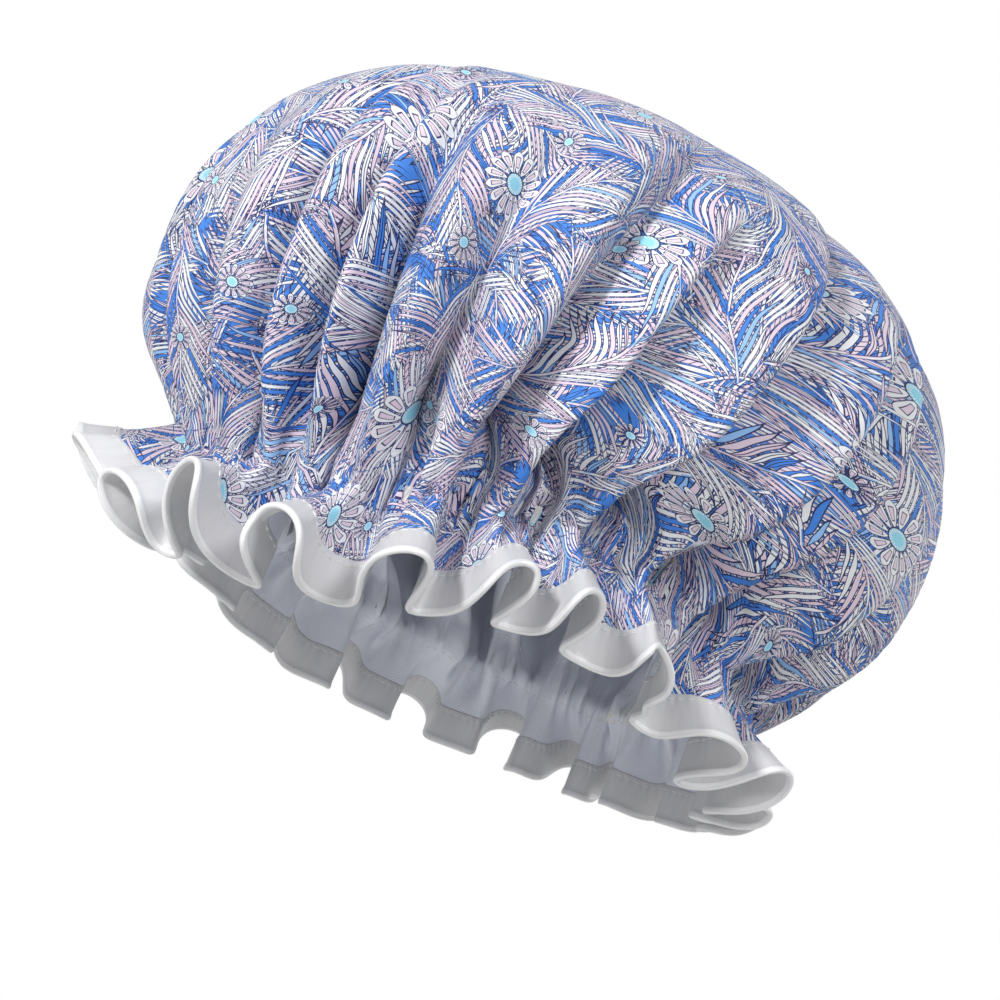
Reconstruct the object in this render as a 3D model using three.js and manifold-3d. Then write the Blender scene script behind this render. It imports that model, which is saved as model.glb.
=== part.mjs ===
// A frilled shower cap, as it stands when a head fills it.
// Two discs of cloth, a printed cover and a waterproof lining, lie one inside the other.
// A flat elastic loop runs between them and gathers both into a dome above and a wavy frill below,
// and a satin binding is folded over the frill's edge.
// Millimetres, +Z up through the crown, the front of the cap towards -Y.
import * as THREE from "three";
import { mergeVertices } from "three/addons/utils/BufferGeometryUtils.js";
import Module from "manifold-3d";

// The elastic line, where the cap grips the head
const HEAD_HALF_WIDTH = 78;
const HEAD_HALF_LENGTH = 98;
// It climbs over the temples: the height, the middle of the climb round from the front, and the half width
const TEMPLE_RISE = 14;
const TEMPLE_ANGLE = 62 * (Math.PI / 180);
const TEMPLE_SPREAD = 52 * (Math.PI / 180);

// The puffed dome, measured over the ridges of its folds
const DOME_HALF_WIDTH = 110;
const DOME_HALF_LENGTH = 120;
const DOME_WIDEST_HEIGHT = 57;
const CROWN_HEIGHT = 139;
const CROWN_ROUNDNESS = 2.2;
const BULGE_ROUNDNESS = 2.4;

// The gathers: folds of the dome, waves of the frill
const WAVE_COUNT = 24;
const WAVE_JITTER = 2.0 * (Math.PI / 180);
const FOLD_DEPTH = 8;
const GATHER_DEPTH = 3;
const FOLD_START = 0.48;
const FOLD_DEEPEST = 0.84;
const FRILL_DEPTH = 28;
const FRILL_CREST_ANGLE = 64 * (Math.PI / 180);
const FRILL_CREST_SPREAD = 14 * (Math.PI / 180);
const FRILL_WAIST_SHARE = 0.75;
const FRILL_OVERHANG = 0.35;

// Cloth, elastic and binding
const COVER_THICKNESS = 0.4;
const LINING_THICKNESS = 0.35;
const ELASTIC_WIDTH = 6;
const ELASTIC_THICKNESS = 1;
const ELASTIC_LAP = 18;
const CHANNEL_MARGIN = 6;
const BINDING_WIDTH = 11;
const BINDING_THICKNESS = 0.5;
const BINDING_NOSE = 0.8;
const BINDING_CLEARANCE = 0.6;
const CLEARANCE = 0.3;
const STAND_CUT = 0.5;

// How finely the dome is divided: the share of the way from crown to elastic, and points round that row
const DOME_ROWS = [
  { share: 0.25, points: WAVE_COUNT },
  { share: 0.48, points: WAVE_COUNT },
  { share: 0.68, points: WAVE_COUNT * 2 },
  { share: 0.85, points: WAVE_COUNT * 2 },
];
const PROFILE_STEPS = 240;
// Each frill wave has two points on its crest and two in its trough, this far from the middle of each
const WAVE_SHOULDER = 38 / 360;
const WAVE_PHASES = [-WAVE_SHOULDER, WAVE_SHOULDER, 0.5 - WAVE_SHOULDER, 0.5 + WAVE_SHOULDER];

const wasm = await Module();
wasm.setup();

// The dome's outline from crown to elastic, each point with its length along the cloth from the crown
function makeProfile() {
  const points = [];
  for (let i = 0; i <= PROFILE_STEPS; i += 1) {
    const turn = (Math.PI / 2) * (1 - i / PROFILE_STEPS);
    const scale = Math.cos(turn) ** (2 / CROWN_ROUNDNESS);
    const rise = Math.sin(turn) ** (2 / CROWN_ROUNDNESS);
    points.push({
      halfWidth: DOME_HALF_WIDTH * scale,
      halfLength: DOME_HALF_LENGTH * scale,
      height: DOME_WIDEST_HEIGHT + (CROWN_HEIGHT - DOME_WIDEST_HEIGHT) * rise,
    });
  }
  for (let i = 1; i <= PROFILE_STEPS; i += 1) {
    const drop = i / PROFILE_STEPS;
    const bulge = 1 - drop ** BULGE_ROUNDNESS;
    points.push({
      halfWidth: HEAD_HALF_WIDTH + (DOME_HALF_WIDTH - HEAD_HALF_WIDTH) * bulge,
      halfLength: HEAD_HALF_LENGTH + (DOME_HALF_LENGTH - HEAD_HALF_LENGTH) * bulge,
      height: DOME_WIDEST_HEIGHT * (1 - drop),
    });
  }
  let reach = 0;
  points.forEach((point, i) => {
    if (i > 0) {
      const last = points[i - 1];
      const out = (point.halfWidth + point.halfLength - last.halfWidth - last.halfLength) / 2;
      reach += Math.hypot(out, point.height - last.height);
    }
    point.reach = reach;
  });
  return points;
}

const profile = makeProfile();
// Lengths along the cloth from the crown: to the elastic line, and to the cut edge
const ELASTIC_REACH = profile[profile.length - 1].reach;
const EDGE_REACH = ELASTIC_REACH + FRILL_DEPTH;
const WIDEST_REACH = profile[PROFILE_STEPS].reach;

// The dome's outline at one length along the cloth, with the outward normal in its meridian plane
function envelope(reach) {
  let next = profile.findIndex((point) => point.reach >= reach);
  next = next < 1 ? 1 : next;
  const a = profile[next - 1];
  const b = profile[next];
  const t = (reach - a.reach) / (b.reach - a.reach);
  const mix = (key) => a[key] + (b[key] - a[key]) * t;
  const run = (b.halfWidth + b.halfLength - a.halfWidth - a.halfLength) / 2;
  const fall = a.height - b.height;
  const length = Math.hypot(run, fall);
  return {
    halfWidth: mix("halfWidth"),
    halfLength: mix("halfLength"),
    height: mix("height"),
    normalOut: fall / length,
    normalUp: run / length,
  };
}

// A place round the cap is counted in waves: whole numbers are crests, halves are troughs.
// Crest 0 is at the front, and the crests are a little unevenly spaced.
function crestAngle(wave) {
  return (2 * Math.PI * wave) / WAVE_COUNT + WAVE_JITTER * Math.sin(1.35 * (wave % WAVE_COUNT) - 1.2);
}

function angleAt(place) {
  const turns = Math.floor(place / WAVE_COUNT);
  const local = place - turns * WAVE_COUNT;
  const wave = Math.floor(local);
  const from = crestAngle(wave);
  const closing = wave + 1 === WAVE_COUNT;
  const to = closing ? crestAngle(0) + 2 * Math.PI : crestAngle(wave + 1);
  return from + (to - from) * (local - wave) + 2 * Math.PI * turns;
}

function smoothStep(from, to, x) {
  const t = Math.min(1, Math.max(0, (x - from) / (to - from)));
  return t * t * (3 - 2 * t);
}

// How far the cloth lies inside the ridges: nothing at the crown, deep above the elastic, shallow at it.
// High up only every second fold is left.
function foldDepth(place, reach) {
  const share = reach / ELASTIC_REACH;
  const rise = FOLD_DEPTH * smoothStep(FOLD_START, FOLD_DEEPEST, share);
  const pinch = smoothStep(FOLD_DEEPEST, 1, share);
  const depth = rise + (GATHER_DEPTH - rise) * pinch;
  const every = (1 - Math.cos(2 * Math.PI * place)) / 2;
  const second = (1 - Math.cos(Math.PI * place)) / 2;
  const merge = smoothStep(FOLD_START, FOLD_DEEPEST, share);
  return depth * (second + (every - second) * merge);
}

// How far the elastic line is lifted at an angle from the front. The lift fades out at the widest line.
function templeRise(angle) {
  const turn = Math.abs(Math.atan2(Math.sin(angle), Math.cos(angle)));
  const off = Math.min(1, Math.abs(turn - TEMPLE_ANGLE) / TEMPLE_SPREAD);
  return (TEMPLE_RISE * (1 + Math.cos(Math.PI * off))) / 2;
}

function domePoint(place, reach) {
  const outline = envelope(reach);
  const angle = angleAt(place);
  const depth = foldDepth(place, reach);
  const inward = depth * outline.normalOut;
  const lift = templeRise(angle) * smoothStep(WIDEST_REACH, ELASTIC_REACH, reach);
  return new THREE.Vector3(
    (outline.halfWidth - inward) * Math.sin(angle),
    -(outline.halfLength - inward) * Math.cos(angle),
    outline.height - depth * outline.normalUp + lift,
  );
}

// The frill hangs straight down in its troughs and curls outwards on its crests
function frillPoint(place, reach) {
  const down = reach - ELASTIC_REACH;
  const share = down / FRILL_DEPTH;
  const crest = (1 + Math.cos(2 * Math.PI * place)) / 2;
  const spread = FRILL_CREST_SPREAD * Math.sin(1.9 * Math.round(place) + 1.1);
  const curl = (FRILL_CREST_ANGLE + spread) * crest;
  const start = FRILL_WAIST_SHARE * curl;
  const bend = Math.max((1 - FRILL_WAIST_SHARE) * curl, 1e-4);
  const end = start + bend * share;
  const out = (FRILL_DEPTH * (Math.cos(start) - Math.cos(end))) / bend;
  const drop = (FRILL_DEPTH * (Math.sin(end) - Math.sin(start))) / bend;
  const shifted = place + (FRILL_OVERHANG * share * Math.sin(4 * Math.PI * place)) / (2 * Math.PI);
  const angle = angleAt(shifted);
  const waist = domePoint(place, ELASTIC_REACH);
  const slide = domePoint(shifted, ELASTIC_REACH).sub(domePoint(place, ELASTIC_REACH));
  const normal = new THREE.Vector3(
    Math.sin(angle) / HEAD_HALF_WIDTH,
    -Math.cos(angle) / HEAD_HALF_LENGTH,
    0,
  ).normalize();
  slide.addScaledVector(normal, -slide.dot(normal));
  return waist.add(slide).addScaledVector(normal, out).setZ(templeRise(angle) - drop);
}

function clothPoint(place, reach) {
  return reach <= ELASTIC_REACH ? domePoint(place, reach) : frillPoint(place, reach);
}

// One row of the cloth. Each spot has its place round the cap and its point.
function makeRow(reach, places) {
  return places.map((place) => ({ place, reach, point: clothPoint(place, reach) }));
}

function evenPlaces(count) {
  return Array.from({ length: count }, (_, i) => (i * WAVE_COUNT) / count);
}

function wavePlaces() {
  return Array.from({ length: WAVE_COUNT }, (_, wave) => WAVE_PHASES.map((phase) => wave + phase)).flat();
}

// The rows that every layer shares, so that layers lie parallel and never cross
const CHANNEL_TOP = ELASTIC_REACH - ELASTIC_WIDTH / 2;
const CHANNEL_FOOT = ELASTIC_REACH + ELASTIC_WIDTH / 2;
const BINDING_REACH = EDGE_REACH - BINDING_WIDTH;
const domeRows = DOME_ROWS.map(({ share, points }) => makeRow(share * ELASTIC_REACH, evenPlaces(points)));
const aboveRow = makeRow(CHANNEL_TOP - CHANNEL_MARGIN, wavePlaces());
const channelTopRow = makeRow(CHANNEL_TOP, wavePlaces());
const channelFootRow = makeRow(CHANNEL_FOOT, wavePlaces());
const bindingRow = makeRow(BINDING_REACH, wavePlaces());
const edgeRow = makeRow(EDGE_REACH, wavePlaces());
const clothRows = [...domeRows, aboveRow, channelTopRow, channelFootRow, bindingRow, edgeRow];
const channelRows = new Set([channelTopRow, channelFootRow]);
const crown = { point: new THREE.Vector3(0, 0, CROWN_HEIGHT), normal: new THREE.Vector3(0, 0, 1) };

// Half the space between cover and lining. It opens where the elastic runs, and more on the outside
// where the elastic's ends lap at the back.
const HALF_GAP = CLEARANCE / 2;
const LAP_MIDDLE = WAVE_COUNT / 2;
const lapHalf = (ELASTIC_LAP / 2) * (WAVE_COUNT / (Math.PI * (HEAD_HALF_WIDTH + HEAD_HALF_LENGTH)));

function elasticOutside(place) {
  const lapped = Math.abs(place - LAP_MIDDLE) <= lapHalf;
  return ELASTIC_THICKNESS * (lapped ? 1.5 : 0.5);
}

function coverInside(row, { place }) {
  return channelRows.has(row) ? elasticOutside(place) + CLEARANCE : HALF_GAP;
}

function liningOutside(row) {
  return channelRows.has(row) ? -ELASTIC_THICKNESS / 2 - CLEARANCE : -HALF_GAP;
}

function raised({ point, normal }, height) {
  return height === 0 ? point : point.clone().addScaledVector(normal, height);
}

// A mesh under construction: points, and triangles that face outwards
function makeBuilder() {
  const positions = [];
  const triangles = [];
  return {
    positions,
    triangles,
    addPoint(point) {
      positions.push(point.x, point.y, point.z);
      return positions.length / 3 - 1;
    },
    addTriangle(a, b, c, flip) {
      triangles.push(...(flip ? [a, c, b] : [a, b, c]));
    },
  };
}

// Joins two closed rows that may have different numbers of points.
// The diagonals lean the same way on every layer, whichever row comes first.
function stitchRows(builder, upper, lower, flip) {
  const downwards = upper.reach <= lower.reach;
  let i = 0;
  let j = 0;
  const at = (row, k) => row.places[k % row.ids.length] + WAVE_COUNT * Math.floor(k / row.ids.length);
  const id = (row, k) => row.ids[k % row.ids.length];
  while (i < upper.ids.length || j < lower.ids.length) {
    const upperNext = at(upper, i + 1);
    const lowerNext = at(lower, j + 1);
    const upperFirst = downwards ? upperNext <= lowerNext : upperNext < lowerNext;
    if (j >= lower.ids.length || (i < upper.ids.length && upperFirst)) {
      builder.addTriangle(id(upper, i), id(lower, j), id(upper, i + 1), flip);
      i += 1;
    } else {
      builder.addTriangle(id(upper, i), id(lower, j), id(lower, j + 1), flip);
      j += 1;
    }
  }
}

function addRow(builder, row, heightOf) {
  return {
    reach: row[0].reach,
    places: row.map(({ place }) => place),
    ids: row.map((spot) => builder.addPoint(raised(spot, heightOf(row, spot)))),
  };
}

// One side of a layer of cloth, from the crown to the cut edge. Returns its row at the edge.
function addSide(builder, heightOf, crownHeight, flip) {
  const top = builder.addPoint(raised(crown, crownHeight));
  const rows = clothRows.map((row) => addRow(builder, row, heightOf));
  const first = rows[0].ids;
  first.forEach((a, i) => builder.addTriangle(top, a, first[(i + 1) % first.length], flip));
  for (let i = 1; i < rows.length; i += 1) {
    stitchRows(builder, rows[i - 1], rows[i], flip);
  }
  return rows[rows.length - 1];
}

function toGeometry(positions, triangles) {
  const geometry = new THREE.BufferGeometry();
  geometry.setAttribute("position", new THREE.Float32BufferAttribute(positions, 3));
  geometry.setIndex(Array.from(triangles));
  geometry.computeVertexNormals();
  return geometry;
}

// Gives each spot the outward normal of the faces round it, so that every layer keeps its thickness
function setNormals() {
  const builder = makeBuilder();
  addSide(builder, () => 0, 0, false);
  const normals = toGeometry(builder.positions, builder.triangles).getAttribute("normal");
  clothRows.flat().forEach((spot, i) => {
    spot.normal = new THREE.Vector3().fromBufferAttribute(normals, i + 1);
  });
}

setNormals();

function toSolid(geometry) {
  const vertProperties = new Float32Array(geometry.getAttribute("position").array);
  const triVerts = new Uint32Array(geometry.index.array);
  return new wasm.Manifold(new wasm.Mesh({ numProp: 3, vertProperties, triVerts }));
}

// A disc of cloth between two heights above the middle of the cap's wall
function clothLayer(outsideOf, insideOf) {
  const builder = makeBuilder();
  const outer = addSide(builder, outsideOf, outsideOf(clothRows[0], {}), false);
  const inner = addSide(builder, insideOf, insideOf(clothRows[0], {}), true);
  stitchRows(builder, outer, inner, false);
  return toGeometry(builder.positions, builder.triangles);
}

function makeCover() {
  const insideOf = coverInside;
  const outsideOf = (row, spot) => coverInside(row, spot) + COVER_THICKNESS;
  return clothLayer(outsideOf, insideOf);
}

function makeLining() {
  const outsideOf = liningOutside;
  const insideOf = (row) => liningOutside(row) - LINING_THICKNESS;
  return clothLayer(outsideOf, insideOf);
}

// A closed band: each entry is a row round the cap and the height of the band's surface on it,
// listed round the band's section with the outside first
function closedBand(section) {
  const builder = makeBuilder();
  const rows = section.map(({ row, heightOf }) => addRow(builder, row, (_, spot) => heightOf(spot)));
  rows.forEach((row, i) => stitchRows(builder, row, rows[(i + 1) % rows.length], false));
  return toGeometry(builder.positions, builder.triangles);
}

function makeElastic() {
  const outside = ({ place }) => elasticOutside(place);
  const inside = () => -ELASTIC_THICKNESS / 2;
  return closedBand([
    { row: channelTopRow, heightOf: outside },
    { row: channelFootRow, heightOf: outside },
    { row: channelFootRow, heightOf: inside },
    { row: channelTopRow, heightOf: inside },
  ]);
}

// A row past the cloth's cut edge, in line with its last stretch
function rowPastEdge(extra) {
  const stretch = extra / BINDING_WIDTH;
  return edgeRow.map((spot, i) => ({
    ...spot,
    reach: spot.reach + extra,
    point: spot.point.clone().addScaledVector(spot.point.clone().sub(bindingRow[i].point), stretch),
  }));
}

const COVER_FACE = HALF_GAP + COVER_THICKNESS;
const LINING_FACE = HALF_GAP + LINING_THICKNESS;
const NOSE_REACH = BINDING_CLEARANCE + BINDING_THICKNESS + BINDING_NOSE;
// The elastic line's height over the table: the frill's troughs stand on the binding's cut-back nose
const WAIST_HEIGHT = FRILL_DEPTH + NOSE_REACH - STAND_CUT;

// The binding is folded lengthwise over the frill's edge, and its nose is cut flat where the cap stands
function makeBinding() {
  const slotRow = rowPastEdge(BINDING_CLEARANCE);
  const shoulderRow = rowPastEdge(BINDING_CLEARANCE + BINDING_THICKNESS);
  const noseRow = rowPastEdge(NOSE_REACH);
  const slotOut = COVER_FACE + BINDING_CLEARANCE;
  const slotIn = -LINING_FACE - BINDING_CLEARANCE;
  const leafOut = slotOut + BINDING_THICKNESS;
  const leafIn = slotIn - BINDING_THICKNESS;
  const folded = closedBand([
    { row: bindingRow, heightOf: () => leafOut },
    { row: shoulderRow, heightOf: () => leafOut },
    { row: noseRow, heightOf: () => (leafOut + leafIn) / 2 },
    { row: shoulderRow, heightOf: () => leafIn },
    { row: bindingRow, heightOf: () => leafIn },
    { row: bindingRow, heightOf: () => slotIn },
    { row: edgeRow, heightOf: () => slotIn },
    { row: slotRow, heightOf: () => slotIn },
    { row: slotRow, heightOf: () => slotOut },
    { row: edgeRow, heightOf: () => slotOut },
    { row: bindingRow, heightOf: () => slotOut },
  ]);
  const table = new THREE.BoxGeometry(4 * DOME_HALF_WIDTH, 4 * DOME_HALF_LENGTH, 2 * FRILL_DEPTH);
  table.translate(0, 0, -WAIST_HEIGHT - FRILL_DEPTH);
  return cutBy(folded, table);
}

function cutBy(geometry, tool) {
  tool.deleteAttribute("normal");
  tool.deleteAttribute("uv");
  const mesh = toSolid(geometry).subtract(toSolid(mergeVertices(tool))).getMesh();
  return toGeometry(mesh.vertProperties, mesh.triVerts);
}

function namedMesh(name, geometry, color, roughness) {
  const material = new THREE.MeshStandardMaterial({ color, roughness, metalness: 0 });
  const mesh = new THREE.Mesh(geometry, material);
  mesh.name = name;
  return mesh;
}

// The cap hangs from its elastic line, so one group lifts it onto the table and centres its box
const cap = new THREE.Group();
cap.add(namedMesh("outer_cover", makeCover(), 0x8d9bd0, 0.75));
cap.add(namedMesh("waterproof_lining", makeLining(), 0xe9ebf3, 0.5));
cap.add(namedMesh("elastic_band", makeElastic(), 0xf2f2f0, 0.85));
cap.add(namedMesh("edge_binding", makeBinding(), 0xf0f1f2, 0.3));
const extent = new THREE.Box3().setFromObject(cap);
const middle = extent.getCenter(new THREE.Vector3());
cap.position.set(-middle.x, -middle.y, -extent.min.z);

const part = new THREE.Group();
part.add(cap);
export default part;
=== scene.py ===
"""The looks of a frilled shower cap: printed cover, waterproof lining, elastic, satin binding and the sewing.

The cloth is laid out as the flat disc that it is cut from. Its gathers are shaped round the elastic line, and
the dome is then puffed by a cloth simulation. Metres, +Z up through the crown, the front towards -Y.
"""
import math

import bpy
import numpy as np
from mathutils import Matrix, Vector


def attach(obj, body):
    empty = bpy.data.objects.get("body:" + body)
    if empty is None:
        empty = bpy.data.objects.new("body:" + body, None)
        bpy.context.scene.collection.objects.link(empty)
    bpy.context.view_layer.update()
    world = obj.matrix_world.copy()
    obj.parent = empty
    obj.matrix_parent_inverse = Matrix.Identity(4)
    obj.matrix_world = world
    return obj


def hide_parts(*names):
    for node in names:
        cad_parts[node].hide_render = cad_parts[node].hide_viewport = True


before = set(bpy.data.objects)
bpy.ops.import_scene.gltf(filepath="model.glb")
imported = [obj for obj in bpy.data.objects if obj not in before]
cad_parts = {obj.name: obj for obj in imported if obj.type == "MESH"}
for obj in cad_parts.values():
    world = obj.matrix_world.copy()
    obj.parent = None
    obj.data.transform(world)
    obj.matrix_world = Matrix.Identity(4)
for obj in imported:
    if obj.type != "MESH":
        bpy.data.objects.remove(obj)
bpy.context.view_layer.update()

MM = 0.001

# The elastic line, where the cap grips the head
HEAD_HALF_WIDTH = 78 * MM
HEAD_HALF_LENGTH = 98 * MM
# It climbs over the temples: the height, the middle of the climb round from the front, and the half width
TEMPLE_RISE = 14 * MM
TEMPLE_ANGLE = math.radians(62)
TEMPLE_SPREAD = math.radians(52)

# The puffed dome over the ridges of its folds
DOME_HALF_WIDTH = 110 * MM
DOME_HALF_LENGTH = 120 * MM
DOME_WIDEST_HEIGHT = 57 * MM
CROWN_HEIGHT = 139 * MM
CROWN_ROUNDNESS = 2.2
BULGE_ROUNDNESS = 2.4
GATHER_DEPTH = 8 * MM

# The dome's folds: their depth before the cloth is puffed, how round the ridges are, and at the sides how
# far they are dragged back by height, how far they lean, and how far the valleys slip under them
FOLD_COUNT = 27
FOLD_DEPTH = 30 * MM
FOLD_ROUNDNESS = 1.6
FOLD_DRAG = math.radians(12) / (80 * MM)
FOLD_SKEW = 0.27
FOLD_TUCK = 1.7
# Heights above the elastic where they have all their depth and have slipped under
FOLD_FOOT = 18 * MM
TUCK_FOOT = 20 * MM
# How uneven their spacing is, and how much closer they lie over the brow
FOLD_UNEVENNESS = 0.2
FOLD_CROWDING = 0.25
# Their length, how much length and depth vary, and what the sides add to both
FOLD_LENGTH = 130 * MM
FOLD_LENGTH_SPREAD = 30 * MM
FOLD_SIDE_LENGTH = 15 * MM
FOLD_DEPTH_SPREAD = 0.25
FOLD_SIDE_DEPTH = 0.6

# The frill's waves
WAVE_COUNT = 24
WAVE_JITTER = math.radians(2)
FRILL_DEPTH = 28 * MM
FRILL_CREST_ANGLE = math.radians(62)
FRILL_CREST_SPREAD = math.radians(16)
FRILL_WAIST_SHARE = 0.82
FRILL_OVERHANG = 0.64
FRILL_LEAN = 0.2
# Slow changes round the frill: their share, the swings in one turn, and the phase
CURL_SWINGS = ((0.7, 1, 2.5), (0.5, 7, 1.1), (0.3, 11, 0.4))
OVERHANG_SWINGS = ((0.08, 5, 2.0),)
LEAN_SWINGS = ((0.5, 3, 0.2), (0.5, 8, 1.7))
# Straight troughs keep this bend, in radians
LEAST_BEND = 1e-4

# The fine pleats at the elastic: height, rise into the dome and drop into the frill
PLEAT_HEIGHT = 1.7 * MM
PLEAT_RISE = 24 * MM
PLEAT_DROP = 0.6 * FRILL_DEPTH
# Sets of pleats: how many go round, their rise by the usual one, and their share of the height
PLEAT_SETS = ((118, 1, 0.7), (77, 1.7, 0.8), (53, 3, 0.9))
# How they wander and vary in size: by how much, swings in one turn, and phase by the set's count
PLEAT_WANDERS = ((1.4, 11, 0.1), (0.8, 5, 0.3))
PLEAT_SIZES = (0.3, 17, 0.8)

# The elastic's channel, and the cloth above it that is held while the dome is puffed
CHANNEL_HALF = 3.7 * MM
HELD_MARGIN = 1.5 * MM
HELD_EASE = 3 * MM
# Half the gap between the layers: on most of the cloth, at the elastic and under the binding, and where
# it changes beside the elastic's middle and the binding's edge
CLOTH_GAP = 0.35 * MM
CHANNEL_GAP = 0.95 * MM
BOUND_GAP = 0.12 * MM
CHANNEL_SLOPE = (0.7 * CHANNEL_HALF, 1.1 * CHANNEL_HALF)
BOUND_SLOPE = (0.2 * MM, 1.2 * MM)

# The elastic, the lap of its ends, and the zigzag across the lap
ELASTIC_WIDTH = 6 * MM
ELASTIC_THICKNESS = 0.5 * MM
ELASTIC_ROWS = (-1.0, -0.5, 0.0, 0.5, 1.0)
ELASTIC_LAP = 18 * MM
LAP_SHIFT = 0.27 * MM
LAP_EASE = 1.4
LAP_ZIGZAGS = 7
ZIGZAG_LAP_SHARE = 0.4
ZIGZAG_HALF_WIDTH = 0.3 * ELASTIC_WIDTH

# The satin binding, and how far it stands off the cloth at depths from the lip
BINDING_WIDTH = 11 * MM
BINDING_LIP = 0.8 * MM
BINDING_DEPTHS = np.array([0, 0.7, 1.5, 2.6, 6.0, 9.0, 10.3, 10.75, 11.0]) * MM
BINDING_HEIGHTS = np.array([0.8, 0.76, 0.55, 0.56, 0.62, 0.62, 0.6, 0.5, 0.2]) * MM
# Its stitch holes, and the puckers between them
HOLE_DEPTH = 0.25 * MM
HOLE_SHARE = 0.13
HOLE_REACH = 0.8 * MM
PUCKER_HEIGHT = 0.06 * MM
PUCKER_REACH = 3 * MM
PUCKER_CHANGE = 0.4
PUCKER_SWING = (29, 0.5)
# Its ripples, which fade round the cap and towards the lip
RIPPLE_HEIGHT = 0.07 * MM
RIPPLE_EASE = 4 * MM
RIPPLE_SWING = (131, 0.3)
RIPPLE_FADE = (19, 1.0)
# The lap of its ends at the nape, with its start and end in waves
BINDING_LAP_HEIGHT = 0.3 * MM
BINDING_LAP_EASE = 1.5 * MM
BINDING_LAP_START = (12.0, 12.02)
BINDING_LAP_END = (12.2, 12.24)

# The sewing: stitches show for a share of their step, rise in the middle and lie just off the cloth
BINDING_STITCHES = 460
BINDING_STITCH_SHARE = 0.72
CHANNEL_STITCHES = 264
CHANNEL_STITCH_SHARE = 0.75
STITCH_LINE = 9.4 * MM
STITCH_RISE = 0.14 * MM
CHANNEL_STITCH_OFF = 0.06 * MM
ZIGZAG_OFF = 0.08 * MM
THREAD_RADIUS = 0.17 * MM
ZIGZAG_THREAD_SHARE = 0.6
STITCH_POINTS = 5
STITCH_SIDES = 6
STITCH_TAPER = 0.75

# The elastic line's middle in the part's frame: the frill's troughs stand on the table
WAIST_CENTRE = np.array([0, 1.2 * MM, 29.4 * MM])

# How finely the cloth, the elastic and the binding are divided
COLUMNS = 384
ROW_STEP = 3.3 * MM
CROWN_STEPS = 6
ELASTIC_COLUMNS = 2 * COLUMNS + 24
BINDING_COLUMNS = 5 * BINDING_STITCHES

# Steps over which the cloth's directions are measured, the first in waves
ROUND_STEP = 0.01
DOWN_STEP = 0.2 * MM
LIP_STEP = 0.3 * MM

# The cloth simulation works on a cap ten times as large, where its forces are well scaled
SIM_SCALE = 10
SIM_FRAMES = 24
SIM_GRAVITY = 0.05
CLOTH_SETTINGS = {
    "quality": 6,
    "mass": 0.2,
    "air_damping": 4,
    "tension_stiffness": 60,
    "compression_stiffness": 60,
    "shear_stiffness": 8,
    "bending_stiffness": 0.1,
    "use_pressure": True,
    "uniform_pressure_force": 0.003,
}

# The satin's ribs, flecks to the metre and the half width of the painted highlight along its fold, and the
# elastic's cords and plait
SATIN_RIB = 0.55 * MM
SATIN_FLECKS = (900.0, 60.0, 1.0)
FOLD_HIGHLIGHT_HALF = 0.9 * MM
ELASTIC_CORD = 0.75 * MM
ELASTIC_PLAIT = 1.1 * MM

# Colours of the print and the plain pieces
COBALT = (0.06, 0.23, 0.70)
WHITE_INK = (0.81, 0.82, 0.85)
LAVENDER = (0.74, 0.61, 0.71)
NAVY = (0.025, 0.03, 0.11)
AQUA = (0.30, 0.66, 0.82)
PALE_BLUE = (0.30, 0.52, 0.84)
SATIN_WHITE = (0.66, 0.66, 0.675)
SATIN_DARK = (0.60, 0.60, 0.62)
SATIN_PALE = (0.68, 0.68, 0.69)
# Painted highlight along the binding's folded lip
PAINTED_FOLD_HIGHLIGHT = (0.82, 0.82, 0.83)
LINING_WHITE = (0.70, 0.73, 0.82)
LINING_PALE = (0.76, 0.78, 0.85)
ELASTIC_WHITE = (0.80, 0.80, 0.77)
# Painted shade in the grooves of the elastic's plait
ELASTIC_GROOVE_SHADE = (0.70, 0.70, 0.68)
WHITE_THREAD = (0.86, 0.86, 0.86)
BLUE_THREAD = (0.10, 0.14, 0.36)
FLOOR_WHITE = (0.86, 0.86, 0.86)


def smooth_step(low, high, x):
    t = np.clip((x - low) / (high - low), 0, 1)
    return t * t * (3 - 2 * t)


def make_profile(steps=400):
    """The dome's outline from crown to elastic: length along the cloth, half sizes and height."""
    turn = np.linspace(math.pi / 2, 0, steps)
    scale = np.cos(turn) ** (2 / CROWN_ROUNDNESS)
    scale[0] = 0
    rise = np.sin(turn) ** (2 / CROWN_ROUNDNESS)
    drop = np.linspace(0, 1, steps)[1:]
    bulge = 1 - drop**BULGE_ROUNDNESS
    half_width, half_length = (
        np.concatenate([dome * scale, head + (dome - head) * bulge])
        for dome, head in ((DOME_HALF_WIDTH, HEAD_HALF_WIDTH), (DOME_HALF_LENGTH, HEAD_HALF_LENGTH))
    )
    above = DOME_WIDEST_HEIGHT + (CROWN_HEIGHT - DOME_WIDEST_HEIGHT) * rise
    height = np.concatenate([above, DOME_WIDEST_HEIGHT * (1 - drop)])
    mean = (half_width + half_length) / 2
    reach = np.concatenate([[0], np.cumsum(np.hypot(np.diff(mean), np.diff(height)))])
    return reach, half_width, half_length, height


PROFILE = make_profile()
ELASTIC_REACH = float(PROFILE[0][-1])
EDGE_REACH = ELASTIC_REACH + FRILL_DEPTH
WIDEST_REACH = float(PROFILE[0][np.argmax(PROFILE[1])])
HELD_REACH = ELASTIC_REACH - CHANNEL_HALF - HELD_MARGIN
LAP_WAVES = WAVE_COUNT * ELASTIC_LAP / (math.pi * (HEAD_HALF_WIDTH + HEAD_HALF_LENGTH))


def envelope(reach):
    """Half width, half length, height and the normal's outward and upward parts, by length from the crown."""
    along, half_width, half_length, height = PROFILE
    mean = (half_width + half_length) / 2
    run, fall = np.gradient(mean, along), -np.gradient(height, along)
    size = np.hypot(run, fall)
    return [np.interp(reach, along, v) for v in (half_width, half_length, height, fall / size, run / size)]


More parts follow.
